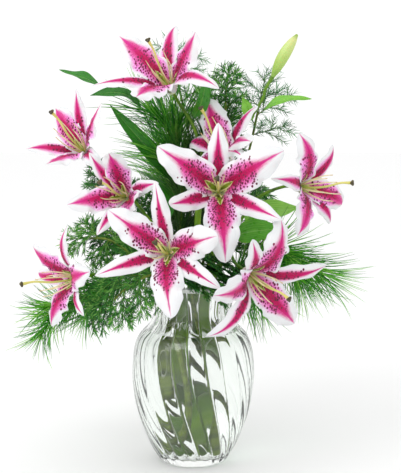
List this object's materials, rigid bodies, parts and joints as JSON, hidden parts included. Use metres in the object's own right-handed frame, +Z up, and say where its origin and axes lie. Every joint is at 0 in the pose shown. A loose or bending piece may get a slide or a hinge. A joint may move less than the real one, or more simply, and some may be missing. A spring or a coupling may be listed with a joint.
{
  "type": "lilies in a vase",
  "caption": "Bouquet of open pink and white lilies with a bud, pine, cedar and fern, standing in water in a clear ribbed glass vase.",
  "frame": {"origin": "middle of the vase's flat foot, on the surface it stands on", "axes": "+Z up; the bouquet's show side faces -Y; +X to the right seen from the show side"},
  "size_m": [0.4002, 0.3302, 0.4773],
  "materials": {
    "vase_glass": "gloss",
    "water": "gloss",
    "lily_stem": "satin",
    "petal": "satin",
    "sepal": "satin",
    "pistil": "satin",
    "bud": "satin",
    "lily_leaf": "satin",
    "pine": "satin",
    "cedar": "matte",
    "fern": "matte"
  },
  "bodies": {
    "root": {"bud": "bud", "cedar_back": "cedar", "cedar_back_left": "cedar", "cedar_left": "cedar", "cedar_lower_left": "cedar", "cedar_middle": "cedar", "cedar_top": "cedar", "fern_top": "fern", "fern_wisp": "fern", "leaf_back_left": "lily_leaf", "leaf_back_right": "lily_leaf", "leaf_back_top": "lily_leaf", "leaf_behind_crown": "lily_leaf", "leaf_bud_left": "lily_leaf", "leaf_bud_right": "lily_leaf", "leaf_crown": "lily_leaf", "leaf_far_left": "lily_leaf", "leaf_lower_left": "lily_leaf", "leaf_lower_right": "lily_leaf", "leaf_right": "lily_leaf", "leaf_upper_left": "lily_leaf", "lily_stem_crown": "lily_stem", "lily_stem_front": "lily_stem", "lily_stem_left": "lily_stem", "lily_stem_middle": "lily_stem", "lily_stem_right": "lily_stem", "petals_behind": "petal", "petals_crown": "petal", "petals_front": "petal", "petals_left": "petal", "petals_lower_left": "petal", "petals_lower_right": "petal", "petals_middle": "petal", "petals_right": "petal", "petals_upper_left": "petal", "pine_back": "pine", "pine_left": "pine", "pine_right": "pine", "pine_top": "pine", "pine_upper_left": "pine", "pistil_behind": "pistil", "pistil_crown": "pistil", "pistil_front": "pistil", "pistil_left": "pistil", "pistil_lower_left": "pistil", "pistil_lower_right": "pistil", "pistil_middle": "pistil", "pistil_right": "pistil", "pistil_upper_left": "pistil", "sepals_behind": "sepal", "sepals_crown": "sepal", "sepals_front": "sepal", "sepals_left": "sepal", "sepals_lower_left": "sepal", "sepals_lower_right": "sepal", "sepals_middle": "sepal", "sepals_right": "sepal", "sepals_upper_left": "sepal", "vase": "vase_glass", "water": "water"}
  },
  "joints": []
}
